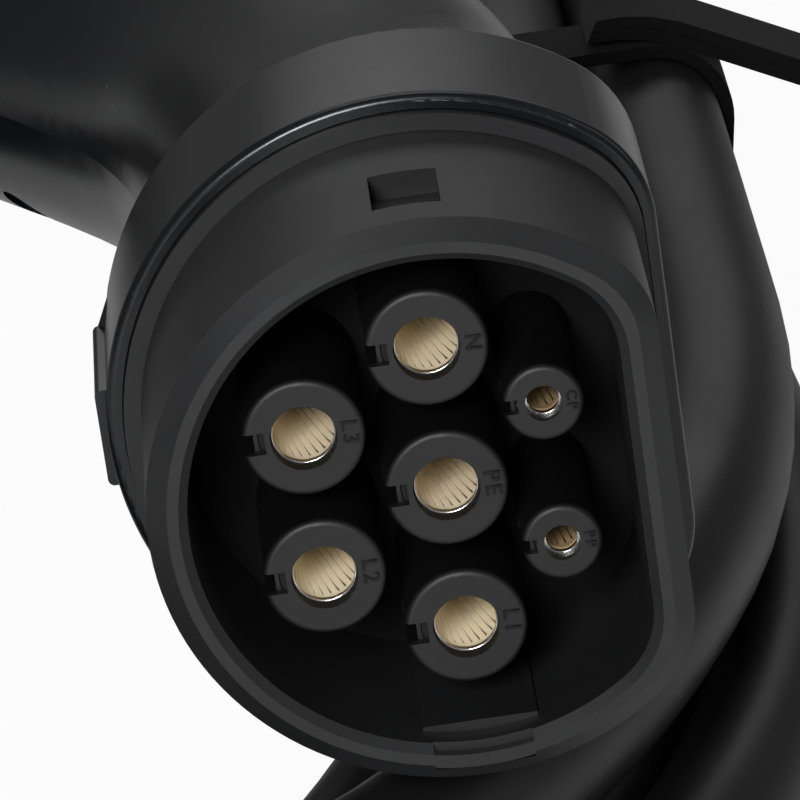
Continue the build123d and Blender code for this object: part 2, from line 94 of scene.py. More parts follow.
@dataclass(frozen=True)
class Finish:
    """One finish: its colour, gloss and relief, as a node material."""

    name: str
    colour: Colour
    roughness: float
    surface: Surface
    metallic: float = 0.0
    specular: float = 0.5
    sheen: float = 0.0
    spread: float = 0.25
    grain: float = 900.0
    relief: float = 0.00006
    dust: float = 0.0
    dust_colour: Colour = (0.34, 0.36, 0.40)

    def material(self) -> bpy.types.Material:
        """Return the material, built once for each name.

        Returns:
            The node material of this finish.
        """
        if self.name in bpy.data.materials:
            return bpy.data.materials[self.name]
        mat = bpy.data.materials.new(self.name)
        mat.use_nodes = True
        nodes, links = mat.node_tree.nodes, mat.node_tree.links
        shader = nodes["Principled BSDF"]
        shader.inputs["Metallic"].default_value = self.metallic
        shader.inputs["Specular IOR Level"].default_value = self.specular
        shader.inputs["Sheen Weight"].default_value = self.sheen
        place = nodes.new("ShaderNodeTexCoord")
        colour = self._colour(nodes, links, place)
        links.new(colour, shader.inputs["Base Color"])
        links.new(self._roughness(nodes, links, place), shader.inputs["Roughness"])
        links.new(self._relief(nodes, links, place), shader.inputs["Normal"])
        return mat

    def _noise(
        self, nodes: Nodes, links: Links, place: Node, scale: float, detail: float, stretch: Point = (1, 1, 1)
    ) -> Socket:
        """Add a noise on object coordinates and return its factor."""
        mapping = nodes.new("ShaderNodeMapping")
        mapping.inputs["Scale"].default_value = stretch
        noise = nodes.new("ShaderNodeTexNoise")
        noise.inputs["Scale"].default_value = scale
        noise.inputs["Detail"].default_value = detail
        links.new(place.outputs["Object"], mapping.inputs["Vector"])
        links.new(mapping.outputs["Vector"], noise.inputs["Vector"])
        return noise.outputs["Fac"]

    def _ramp(self, nodes: Nodes, links: Links, factor: Socket, stops: list[tuple[float, Colour]]) -> Socket:
        """Add a colour ramp on a factor and return its colour."""
        ramp = nodes.new("ShaderNodeValToRGB")
        elements = ramp.color_ramp.elements
        while len(elements) < len(stops):
            elements.new(0.5)
        for element, (position, colour) in zip(elements, stops):
            element.position = position
            element.color = (*colour, 1.0)
        links.new(factor, ramp.inputs["Fac"])
        return ramp.outputs["Color"]

    def _product(self, nodes: Nodes, links: Links, a: Socket, b: Socket | float) -> Socket:
        """Multiply a socket by another, or by a number."""
        node = nodes.new("ShaderNodeMath")
        node.operation = "MULTIPLY"
        links.new(a, node.inputs[0])
        if isinstance(b, float):
            node.inputs[1].default_value = b
        else:
            links.new(b, node.inputs[1])
        return node.outputs[0]

    def _colour(self, nodes: Nodes, links: Links, place: Node) -> Socket:
        """Colour with slow and fine variation, and dust specks where the finish has them."""
        low = tuple(c * (1 - self.spread) for c in self.colour)
        high = tuple(min(1.0, c * (1 + self.spread)) for c in self.colour)
        slow = self._noise(nodes, links, place, 55.0, 4.0)
        colour = self._ramp(nodes, links, slow, [(0.32, low), (0.68, high)])
        if not self.dust:
            return colour
        specks = nodes.new("ShaderNodeTexVoronoi")
        specks.inputs["Scale"].default_value = 420.0
        links.new(place.outputs["Object"], specks.inputs["Vector"])
        near = self._ramp(nodes, links, specks.outputs["Distance"], [(0.0, (1, 1, 1)), (0.09, (0, 0, 0))])
        few = self._noise(nodes, links, place, 150.0, 2.0)
        rare = self._ramp(nodes, links, few, [(0.60, (0, 0, 0)), (0.72, (1, 1, 1))])
        share = self._product(nodes, links, self._product(nodes, links, near, rare), self.dust)
        mix = nodes.new("ShaderNodeMix")
        mix.data_type = "RGBA"
        mix.inputs["B"].default_value = (*self.dust_colour, 1.0)
        links.new(share, mix.inputs["Factor"])
        links.new(colour, mix.inputs["A"])
        return mix.outputs["Result"]

    def _roughness(self, nodes: Nodes, links: Links, place: Node) -> Socket:
        """Roughness with handling marks."""
        marks = self._noise(nodes, links, place, 120.0, 6.0, (1.0, 0.35, 1.0))
        spread = nodes.new("ShaderNodeMapRange")
        spread.inputs["To Min"].default_value = max(0.02, self.roughness - 0.07)
        spread.inputs["To Max"].default_value = min(1.0, self.roughness + 0.07)
        links.new(marks, spread.inputs["Value"])
        return spread.outputs["Result"]

    def _relief(self, nodes: Nodes, links: Links, place: Node) -> Socket:
        """Relief of the surface: moulded grain, weave, tool marks or sheath texture."""
        stretch = {
            Surface.TURNED: (1.0, 14.0, 1.0),
            Surface.SHEATH: (1.0, 0.5, 1.0),
        }.get(self.surface, (1.0, 1.0, 1.0))
        height = self._noise(nodes, links, place, self.grain, 3.0, stretch)
        if self.surface is Surface.WOVEN:
            height = self._weave(nodes, links, place)
        bump = nodes.new("ShaderNodeBump")
        bump.inputs["Strength"].default_value = 0.25 if self.surface is Surface.SMOOTH else 0.6
        bump.inputs["Distance"].default_value = self.relief
        links.new(height, bump.inputs["Height"])
        return bump.outputs["Normal"]

    def _weave(self, nodes: Nodes, links: Links, place: Node) -> Socket:
        """Crossed bands as tape has them."""
        bands = []
        for direction in ("X", "Y"):
            wave = nodes.new("ShaderNodeTexWave")
            wave.bands_direction = direction
            wave.inputs["Scale"].default_value = 700.0
            wave.inputs["Distortion"].default_value = 1.5
            links.new(place.outputs["Object"], wave.inputs["Vector"])
            bands.append(wave.outputs["Fac"])
        return self._product(nodes, links, bands[0], bands[1])


HOUSING = Finish("housing_black", (0.0040, 0.0046, 0.0064), 0.24, Surface.SATIN, dust=0.5, relief=0.00002)
SLEEVE = Finish("sleeve_black", (0.0125, 0.0128, 0.0140), 0.46, Surface.MOULDED, dust=0.35, relief=0.00003)
CARRIER = Finish("carrier_black", (0.0065, 0.0065, 0.0068), 0.5, Surface.MOULDED, relief=0.00003)
GOLD = Finish("contact_gold", (0.72, 0.52, 0.27), 0.30, Surface.TURNED, metallic=1.0, relief=0.00001)
CROWN = Finish("crown_gold", (0.93, 0.80, 0.60), 0.45, Surface.TURNED, spread=0.12, relief=0.00001)
PLATED = Finish(
    "contact_plated", (0.86, 0.84, 0.80), 0.22, Surface.TURNED, metallic=1.0, relief=0.000006
)
DULL = Finish("contact_dull", (0.008, 0.008, 0.008), 0.6, Surface.TURNED, metallic=0.4, relief=0.00001)
LETTER = Finish(
    "carrier_letter", (0.0030, 0.0030, 0.0032), 0.42, Surface.MOULDED, specular=0.3, relief=0.00002
)
PILOT_CROWN = Finish(
    "pilot_crown", (0.50, 0.36, 0.20), 0.42, Surface.TURNED, metallic=0.25, relief=0.00001
)
STEEL = Finish("plated_steel", (0.56, 0.56, 0.58), 0.32, Surface.TURNED, metallic=1.0, relief=0.00001)
# Painted shade: a darker black for the carrier's faces behind the tower faces, standing in for the shade deep
# in the recess. Its duller gloss comes from its roughness and specular.
RECESS_PAINTED_SHADE = Finish(
    "carrier_recess_painted_shade", (0.0022, 0.0022, 0.0024), 0.7, Surface.MOULDED, specular=0.18, relief=0.00003
)
RUBBER = Finish("boot_rubber", (0.010, 0.010, 0.011), 0.55, Surface.MOULDED, relief=0.00005)
SHEATH = Finish("lead_sheath", (0.0075, 0.0075, 0.0082), 0.42, Surface.SHEATH, grain=600.0, relief=0.00005)
TAPE = Finish("tie_tape", (0.0035, 0.0035, 0.0040), 0.88, Surface.WOVEN, specular=0.25, sheen=0.05)
TINNED = Finish("tinned_copper", (0.70, 0.70, 0.72), 0.30, Surface.TURNED, metallic=1.0, relief=0.00001)
RESISTOR = Finish("resistor_lacquer", (0.45, 0.33, 0.20), 0.35, Surface.SMOOTH)
CORE_COLOURS: dict[str, Colour] = {
    "pe": (0.10, 0.34, 0.05),
    "n": (0.03, 0.12, 0.42),
    "l1": (0.16, 0.06, 0.025),
    "l2": (0.014, 0.014, 0.014),
    "l3": (0.22, 0.22, 0.23),
    "cp": (0.48, 0.17, 0.03),
}


def core_finish(name: str) -> Finish:
    """Insulation of one core.

    Args:
        name: the contact that the core serves.

    Returns:
        Its finish.
    """
    return Finish(f"core_{name}", CORE_COLOURS[name], 0.38, Surface.SMOOTH, spread=0.1)


# ------------------------------------------------------------------ helpers


def dress(obj: bpy.types.Object, finish: Finish) -> None:
    """Give an object one finish.

    Args:
        obj: the piece.
        finish: what it is made of.
    """
    obj.data.materials.clear()
    obj.data.materials.append(finish.material())


def new_object(name: str, data: bpy.types.ID) -> bpy.types.Object:
    """Link a new object at the origin.

    Args:
        name: the object's name.
        data: its mesh or curve.

    Returns:
        The object.
    """
    obj = bpy.data.objects.new(name, data)
    bpy.context.scene.collection.objects.link(obj)
    return obj


def settle(obj: bpy.types.Object, place: Matrix) -> None:
    """Move a mesh by a matrix and leave its object at the origin."""
    obj.data.transform(place)
    obj.data.update()


def plain_mesh(obj: bpy.types.Object, name: str) -> bpy.types.Object:
    """Turn an evaluated object into a plain mesh object and remove the source.

    Args:
        obj: an object with live modifiers, or a curve or text.
        name: the new object's name.

    Returns:
        A mesh object at the origin.
    """
    graph = bpy.context.evaluated_depsgraph_get()
    mesh = bpy.data.meshes.new_from_object(obj.evaluated_get(graph))
    made = new_object(name, mesh)
    data = obj.data
    bpy.data.objects.remove(obj)
    if data.users == 0 and isinstance(data, bpy.types.Curve):
        bpy.data.curves.remove(data)
    return made


def torus(
    name: str, radius: float, thick: float, y: float, turns: int = 64, sides: int = 14
) -> bpy.types.Object:
    """A round ring about the Y axis.

    Args:
        name: the object's name.
        radius: of its middle line, in millimetres.
        thick: radius of its section.
        y: where it lies along Y.
        turns: steps round the ring.
        sides: steps round the section.

    Returns:
        The ring as a mesh object.
    """
    centre = [(radius * math.sin(a), y, radius * math.cos(a)) for a in steps_round(turns)]
    ways = [(math.sin(a), 0.0, math.cos(a)) for a in steps_round(turns)]
    return bead(name, centre, ways, thick, sides)


def steps_round(count: int) -> list[float]:
    """Angles of equal steps round a circle, in radians."""
    return [2 * math.pi * k / count for k in range(count)]


def bead(
    name: str, centre: list[Point], ways: list[Point], thick: float, sides: int = 14
) -> bpy.types.Object:
    """A closed round bead along a loop in a plane across Y.

    Args:
        name: the object's name.
        centre: points of its middle line, in millimetres.
        ways: the way out of the loop at each point.
        thick: radius of its section.
        sides: steps round the section.

    Returns:
        The bead as a mesh object.
    """
    mesh = bmesh.new()
    loops = []
    for spot, way in zip(centre, ways):
        loop = []
        for b in steps_round(sides):
            out = Vector(way) * (thick * math.cos(b)) + Vector((0, thick * math.sin(b), 0))
            loop.append(mesh.verts.new((Vector(spot) + out) * MM))
        loops.append(loop)
    for a, b in zip(loops, loops[1:] + loops[:1]):
        skin(mesh, a, b)
    return finished(name, mesh)


def skin(mesh: bmesh.types.BMesh, a: list, b: list) -> None:
    """Join two closed loops of as many vertices with a band of faces.

    Args:
        mesh: the mesh that the faces go into.
        a: vertices of one loop.
        b: vertices of the other.
    """
    for i in range(len(a)):
        j = (i + 1) % len(a)
        mesh.faces.new((a[i], a[j], b[j], b[i]))


def to_data(name: str, mesh: bmesh.types.BMesh) -> bpy.types.Mesh:
    """Turn a bmesh into a mesh with its faces outwards, and free it."""
    bmesh.ops.recalc_face_normals(mesh, faces=mesh.faces)
    data = bpy.data.meshes.new(name)
    mesh.to_mesh(data)
    mesh.free()
    return data


def finished(name: str, mesh: bmesh.types.BMesh) -> bpy.types.Object:
    """Turn a bmesh into a smooth-shaded object with its faces outwards."""
    data = to_data(name, mesh)
    for face in data.polygons:
        face.use_smooth = True
    return new_object(name, data)


def sharp_edges(obj: bpy.types.Object, degrees: float = 35.0) -> None:
    """Keep edges sharper than an angle crisp under smooth shading."""
    obj.data.set_sharp_from_angle(angle=math.radians(degrees))


# ------------------------------------------------------------------ contacts

BORE_SHARE = 1.15
BORE_GAP = 0.35


@dataclass(frozen=True)
class Contact:
    """One contact: its place on the face, in millimetres, and the pin that it takes."""

    name: str
    x: float
    z: float
    pin: float
    tower: float
    strips: int
    spring: Finish
    letter_share: float = 1.0

    @property
    def bore(self) -> float:
        """Radius of the bore that the crown spring sits in."""
        return self.pin * BORE_SHARE + BORE_GAP

    @property
    def place(self) -> Matrix:
        """The move from the origin to the contact's axis."""
        return Matrix.Translation((self.x * MM, 0, self.z * MM))


@dataclass
class ContactFace:
    """The seven contacts: a crown spring, a bright lip and raised letters for each. In millimetres."""

    pitch: float = 15.0
    phase_row: float = 13.2
    pilot_row: float = 10.6
    mouth: float = 1.2

    clearance: float = 0.03
    strip_front: float = 1.7
    strip_back: float = 17.9
    strip_inset: float = 0.30
    strip_fill: float = 1.06
    strip_thick: float = 0.16
    strip_steps: int = 20
    strip_taper: float = 0.18
    strip_profile: tuple[tuple[float, float], ...] = (
        (-0.5, 0.0), (-0.42, 1.0), (0.42, 1.0), (0.5, 0.0), (0.42, -0.35), (-0.42, -0.35)
    )

    ring_inner: float = 0.42
    ring_outer: float = 0.06
    ring_front: tuple[float, float] = (1.6, 2.5)
    ring_back: tuple[float, float] = (17.0, 17.95)
    ring_turns: int = 48

    lip_offset: float = 0.19
    lip_thick: float = 0.15
    lip_depth: float = 0.42

    letter_height: float = 1.6
    cap_share: float = 0.70
    letter_spread: float = 1.3
    letter_rise: float = 0.22
    letter_sink: float = 0.06
    letter_bevel: float = 0.03
    letter_gap: float = 0.35
    letter_across: float = 0.42
    contacts: list[Contact] = field(default_factory=list)

    def __post_init__(self) -> None:
        """Set out the contacts in their three rows."""
        half = self.pitch / 2
        power = {
            "pe": (0.0, 0.0),
            "n": (0.0, self.pitch),
            "l1": (0.0, -self.pitch),
            "l3": (-self.phase_row, half),
            "l2": (-self.phase_row, -half),
        }
        pilot = {"cp": (self.pilot_row, half), "pp": (self.pilot_row, -half)}
        for name, (x, z) in power.items():
            self.contacts.append(Contact(name, x, z, 3.0, 6.1, 26, CROWN))
        for name, (x, z) in pilot.items():
            self.contacts.append(Contact(name, x, z, 1.5, 4.0, 14, PILOT_CROWN, 0.66))

    def strip_tree(self, contact: Contact) -> bpy.types.NodeTree:
        """Geometry nodes that set one slanted strip round a ring.

        Args:
            contact: the contact whose spring this is.

        Returns:
            A tree with a named input for the count.
        """
        tree = bpy.data.node_groups.new(f"crown_{contact.name}", "GeometryNodeTree")
        face = tree.interface
        face.new_socket("Geometry", in_out="INPUT", socket_type="NodeSocketGeometry")
        face.new_socket("Geometry", in_out="OUTPUT", socket_type="NodeSocketGeometry")
        count = face.new_socket("Strips", in_out="INPUT", socket_type="NodeSocketInt")
        count.default_value = contact.strips
        add = tree.nodes.new
        source, sink = add("NodeGroupInput"), add("NodeGroupOutput")
        ring, spin = add("GeometryNodeMeshLine"), add("GeometryNodeInstanceOnPoints")
        index, turn, step = add("GeometryNodeInputIndex"), add("ShaderNodeMath"), add("ShaderNodeMath")
        axis, real = add("ShaderNodeCombineXYZ"), add("GeometryNodeRealizeInstances")
        paint = add("GeometryNodeSetMaterial")
        ring.inputs["Offset"].default_value = (0.0, 0.0, 0.0)
        step.operation, turn.operation = "DIVIDE", "MULTIPLY"
        step.inputs[0].default_value = 2 * math.pi
        paint.inputs["Material"].default_value = contact.spring.material()
        link = tree.links.new
        link(source.outputs["Strips"], ring.inputs["Count"])
        link(source.outputs["Strips"], step.inputs[1])
        link(index.outputs[0], turn.inputs[0])
        link(step.outputs[0], turn.inputs[1])
        link(turn.outputs[0], axis.inputs["Y"])
        link(ring.outputs["Mesh"], spin.inputs["Points"])
        link(source.outputs["Geometry"], spin.inputs["Instance"])
        link(axis.outputs[0], spin.inputs["Rotation"])
        link(spin.outputs["Instances"], real.inputs["Geometry"])
        link(real.outputs["Geometry"], paint.inputs["Geometry"])
        link(paint.outputs["Geometry"], sink.inputs["Geometry"])
        return tree

    def strip(self, contact: Contact) -> bpy.types.Mesh:
        """One spring strip, twisted from the front ring to the back ring.

        Args:
            contact: the contact whose spring this is.

        Returns:
            A closed strip with rounded long edges, whose middle reaches in to the pin.
        """
        waist = contact.pin + self.clearance
        twist = math.acos(waist / (contact.bore - self.strip_inset))
        front, back = self.mouth + self.strip_front, self.strip_back
        width = 2 * math.pi * contact.pin / contact.strips * self.strip_fill
        mesh = bmesh.new()
        rows = []
        for k in range(self.strip_steps + 1):
            s = 2 * k / self.strip_steps - 1
            angle = s * twist
            y = front + (back - front) * k / self.strip_steps
            radius = waist / math.cos(angle)
            out = Vector((math.sin(angle), 0, math.cos(angle)))
            side = Vector((math.cos(angle), 0, -math.sin(angle)))
            across = width * (1.0 - self.strip_taper * abs(s) ** 4)
            row = []
            for w, u in self.strip_profile:
                spot = out * (radius + self.strip_thick * (0.5 - u)) + side * (w * across)
                row.append(mesh.verts.new(spot * MM + Vector((0, y * MM, 0))))
            rows.append(row)
        for a, b in zip(rows, rows[1:]):
            skin(mesh, a, b)
        mesh.faces.new(rows[0])
        mesh.faces.new(rows[-1])
        return to_data(f"strip_{contact.name}", mesh)

    def rings(self, contact: Contact) -> bpy.types.Object:
        """The two end rings of a crown spring, as one mesh of revolution."""
        inner, outer = contact.bore - self.ring_inner, contact.bore - self.ring_outer
        mesh = bmesh.new()
        for near, far in ((self.mouth + self.ring_front[0], self.mouth + self.ring_front[1]), self.ring_back):
            profile = ((inner, near), (outer, near), (outer, far), (inner, far))
            loops = []
            for a in steps_round(self.ring_turns):
                spots = [(r * math.sin(a) * MM, y * MM, r * math.cos(a) * MM) for r, y in profile]
                loops.append([mesh.verts.new(spot) for spot in spots])
            for a, b in zip(loops, loops[1:] + loops[:1]):
                skin(mesh, a, b)
        return new_object(f"rings_{contact.name}", to_data(f"rings_{contact.name}", mesh))

    def lip(self, contact: Contact) -> bpy.types.Object:
        """The rounded bright edge of a contact's mouth.

        Args:
            contact: the contact that it edges.

        Returns:
            One ring, riding with the plug.
        """
        radius, depth = contact.pin + self.lip_offset, self.mouth + self.lip_depth
        ring = torus(f"lip_{contact.name}", radius, self.lip_thick, depth)
        settle(ring, contact.place)
        dress(ring, PLATED)
        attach(ring, BODY)
        return ring

    def crown(self, contact: Contact) -> bpy.types.Object:
        """The whole crown spring of one contact, in place of its plain solid.

        Args:
            contact: the contact whose spring this is.

        Returns:
            One mesh, riding with the plug.
        """
        strip = new_object(f"strips_{contact.name}", self.strip(contact))
        modifier = strip.modifiers.new("crown", "NODES")
        modifier.node_group = self.strip_tree(contact)
        for socket in modifier.node_group.interface.items_tree:
            if socket.name == "Strips":
                modifier[socket.identifier] = contact.strips
        strips = plain_mesh(strip, f"crown_spring_{contact.name}")
        rings = self.rings(contact)
        body = bmesh.new()
        body.from_mesh(strips.data)
        body.from_mesh(rings.data)
        body.to_mesh(strips.data)
        body.free()
        bpy.data.objects.remove(rings)
        dress(strips, contact.spring)
        settle(strips, contact.place)
        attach(strips, BODY)
        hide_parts(f"crown_{contact.name}")
        return strips

    def mark(self, contact: Contact) -> bpy.types.Object:
        """The raised designation beside a contact's mouth, read from the plug's own upright.

        Args:
            contact: the contact that it names.

        Returns:
            One mesh, standing on the tower's face.
        """
        text = bpy.data.curves.new(f"text_{contact.name}", "FONT")
        text.body = contact.name.upper()
        text.align_x, text.align_y = "CENTER", "CENTER"
        text.size = self.letter_height * contact.letter_share / self.cap_share * MM
        text.space_character = self.letter_spread
        text.extrude = self.letter_rise / 2 * MM
        text.bevel_depth = self.letter_bevel * MM
        text.bevel_resolution = 1
        text.resolution_u = 3
        piece = plain_mesh(new_object(f"text_{contact.name}", text), f"mark_{contact.name}")
        mouth = contact.pin + self.letter_gap
        across = mouth + (contact.tower - mouth) * self.letter_across
        turn = Matrix(((0, 1, 0), (0, 0, -1), (-1, 0, 0))).to_4x4()
        place = Matrix.Translation(
            ((contact.x + across) * MM, -self.letter_sink * MM, contact.z * MM)
        )
        settle(piece, place @ turn)
        dress(piece, LETTER)
        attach(piece, BODY)
        return piece

    def build(self) -> None:
        """Build every crown spring, lip and mark."""
        for contact in self.contacts:
            self.crown(contact)
            self.lip(contact)
            self.mark(contact)
            LOG.info("contact %s: crown of %d strips", contact.name, contact.strips)


# ------------------------------------------------------------------ trim


@dataclass
class Trim:
    """Small forms on the rim and the housing's band, in millimetres."""

    band_r: float = 33.2
    band_flat: float = 25.0
    band_corner: float = 13.0
    band_front: float = 23.4
    bead: float = 0.85
    bead_in: float = 0.80
    bead_sides: int = 20
    arc_steps: int = 119
    corner_steps: int = 16

    rim_front: float = -4.9
    key_in_r: float = 26.62
    key_face_r: float = 28.0
    key_out_r: float = 28.04
    bevel_slope: float = 2.0 / 1.7
    key_back: float = 0.006
    key_depth: float = 1.22
    key_half: float = 5.02
    key_steps: int = 24

    keel_half: float = 8.55
    keel_start: float = 26.3
    keel_end: float = 45.1
    keel_foot: float = 31.0
    keel_narrow: float = 0.62
    keel_top: float = 34.5
    keel_low: float = 34.1

    def outline(self, inset: float) -> tuple[list[Point], list[Point]]:
        """The D outline of the band's front edge.

        Args:
            inset: how far inside the band it lies.

        Returns:
            Its points, and the way out at each.
        """
        radius, flat, corner = self.band_r - inset, self.band_flat - inset, self.band_corner - inset
        middle_x = flat - corner
        middle_z = math.sqrt((radius - corner) ** 2 - middle_x**2)
        meet = math.atan2(middle_z, middle_x)
        points, ways = [], []

        def add(x: float, z: float, a: float, size: float) -> None:
            """Add the point of one arc at an angle."""
            points.append((x + size * math.cos(a), self.band_front + self.bead, z + size * math.sin(a)))
            ways.append((math.cos(a), 0.0, math.sin(a)))

        for k in range(self.arc_steps + 1):
            add(0.0, 0.0, meet + (2 * math.pi - 2 * meet) * k / self.arc_steps, radius)
        for side, start, stop in ((-1, -meet, 0.0), (1, 0.0, meet)):
            for k in range(1, self.corner_steps):
                add(middle_x, side * middle_z, start + (stop - start) * k / self.corner_steps, corner)
        return points, ways

    def lip(self) -> None:
        """The rounded bead on the band's front edge."""
        points, ways = self.outline(self.bead_in)
        ring = bead("band_lip", points, ways, self.bead, self.bead_sides)
        dress(ring, HOUSING)
        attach(ring, BODY)

    def rim_key(self) -> None:
        """The piece of rim outside the polarising notch, which cuts the lead-in only."""
        mesh = bmesh.new()
        steps = self.key_steps
        span = [self.key_half * (2 * k / steps - 1) for k in range(steps + 1)]
        face, back = self.rim_front + self.key_back, self.rim_front + self.key_depth
        corners = []
        for radius, y in (
            (self.key_in_r, face),
            (self.key_face_r, face),
            (self.key_out_r, face + (self.key_out_r - self.key_face_r) * self.bevel_slope),
            (self.key_out_r, back),
            (self.key_in_r, back),
        ):
            spots = [Vector((x, y, -math.sqrt(radius**2 - x**2))) * MM for x in span]
            corners.append([mesh.verts.new(spot) for spot in spots])
        for a, b in zip(corners, corners[1:] + corners[:1]):
            for k in range(steps):
                mesh.faces.new((a[k], a[k + 1], b[k + 1], b[k]))
        for k in (0, steps):
            mesh.faces.new([row[k] for row in corners])
        key = finished("rim_key", mesh)
        sharp_edges(key)
        dress(key, SLEEVE)
        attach(key, BODY)

    def shell(self, node: bpy.types.Object) -> None:
        """A half shell whose keel is drawn in to its narrow form, in place of the plain solid.

        Args:
            node: the half shell.
        """
        data = node.data.copy()
        for vertex in data.vertices:
            x, y, z = (c / MM for c in vertex.co)
            if x > -self.keel_foot or abs(z) > self.keel_half or not self.keel_start < y < self.keel_end:
                continue
            base = math.sqrt(self.band_r**2 - z * z)
            rise = (-x - base) / (self.keel_top - base)
            if rise < -0.02:
                continue
            z *= self.keel_narrow
            base = math.sqrt(self.band_r**2 - z * z)
            vertex.co.x = -(base + rise * (self.keel_low - base)) * MM
            vertex.co.z = z * MM
        shell = new_object(node.name.replace("housing", "shell"), data)
        dress(shell, HOUSING)
        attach(shell, BODY)
        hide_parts(node.name)

    def build(self, frame: dict) -> None:
        """Build the trim.
        """
        self.lip()
        self.rim_key()
        for name in ("housing_upper", "housing_lower"):
            self.shell(frame["nodes"][name])
        LOG.info("trim: band lip, rim key and keel")


# ------------------------------------------------------------------ ties


@dataclass
class Tie:
    """A hook-and-loop tie drawn tight round four turns, with a double tail on the outer side."""

    node: str
    middle: float
    side: int
    place: float
    offsets: tuple[float, float, float, float]
    cord_r: float = 8.6
    thick: float = 1.7
    width: float = 12.5
    upper: float = -41.75
    lower: float = -59.75
    surface: float = -68.25
    under: float = 0.75
    tail: float = 40.0
    root: float = 14.0
    step_back: float = 5.0
    tail_steps: int = 12
    sag: float = 0.020
    first_lift: float = 1.06
    next_lift: float = 0.97
    droop: float = 27.0
    cord_steps: int = 48

    def loop(self) -> list[tuple[float, float]]:
        """The convex outline round the four turns, across and up, anticlockwise."""
        spots = []
        for k, across in enumerate(self.offsets):
            up = self.upper if k < 2 else self.lower
            spots += [
                (across + self.cord_r * math.cos(a), up + self.cord_r * math.sin(a))
                for a in steps_round(self.cord_steps)
            ]
        spots = sorted(set((round(x, 4), round(z, 4)) for x, z in spots))

        def chain(points: list) -> list:
            """One side of the hull."""
            out: list[tuple[float, float]] = []
            for p in points:
                while len(out) > 1 and turn_of(out[-2], out[-1], p) <= 0:
                    out.pop()
                out.append(p)
            return out[:-1]

        return chain(spots) + chain(spots[::-1])

    def band(self, mesh: bmesh.types.BMesh, inner: list, outer: list, closed: bool) -> None:
        """Add a strip of tape between an inner and an outer line."""
        near, far = self.place - self.width / 2, self.place + self.width / 2
        rows = []
        for (xi, zi), (xo, zo) in zip(inner, outer):
            corners = ((xi, near, zi), (xo, near, zo), (xo, far, zo), (xi, far, zi))
            spots = [Vector((self.middle + self.side * x, y, z)) * MM for x, y, z in corners]
            rows.append([mesh.verts.new(spot) for spot in spots])
        pairs = list(zip(rows, rows[1:])) + ([(rows[-1], rows[0])] if closed else [])
        for a, b in pairs:
            skin(mesh, a, b)
        if not closed:
            mesh.faces.new(rows[0])
            mesh.faces.new(rows[-1])

    def build(self) -> bpy.types.Object:
        """The whole tie, in place of its plain solid.

        Returns:
            One mesh, riding with the plug.
        """
        inner = self.loop()
        count = len(inner)
        outer = []
        for k, (x, z) in enumerate(inner):
            ax, az = inner[k - 1]
            bx, bz = inner[(k + 1) % count]
            way = Vector((bz - az, ax - bx)).normalized()
            outer.append((x + self.thick * way.x, max(z + self.thick * way.y, self.surface - self.under)))
        mesh = bmesh.new()
        self.band(mesh, inner, outer, True)
        lean = math.radians(self.droop)
        run, drop = math.cos(lean), -math.sin(lean)
        foot = (self.offsets[0] + self.cord_r * math.sin(lean), self.upper + self.cord_r * math.cos(lean))
        for layer in (0, 1):
            base = self.thick * (self.first_lift + self.next_lift * layer)
            line, top = [], []
            for k in range(self.tail_steps + 1):
                s = -self.root + (self.tail + self.root - self.step_back * layer) * k / self.tail_steps
                lift = 0.0 if s > 0 else -self.sag * s * s
                x = foot[0] + base * math.sin(lean) + s * run
                z = foot[1] + base * math.cos(lean) + s * drop + lift
                line.append((x, z))
                top.append((x - self.thick * drop, z + self.thick * run))
            self.band(mesh, line, top, False)
        tie = finished(f"tape_{self.node}", mesh)
        sharp_edges(tie, 50.0)
        dress(tie, TAPE)
        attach(tie, BODY)
        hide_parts(self.node)
        return tie


def turn_of(a: tuple, b: tuple, c: tuple) -> float:
    """Twice the signed area of three points."""
    return (b[0] - a[0]) * (c[1] - a[1]) - (b[1] - a[1]) * (c[0] - a[0])


# ------------------------------------------------------------------ lead


@dataclass(frozen=True)
class Turn:
    """One turn of the folded lead: how far outside the middle line it lies on the way round."""

    far: float
    right: tuple[float, float, float]
    bend: tuple[float, float]
    near: float
    left: float
    low: bool = False
    sink: tuple[float, ...] = ()


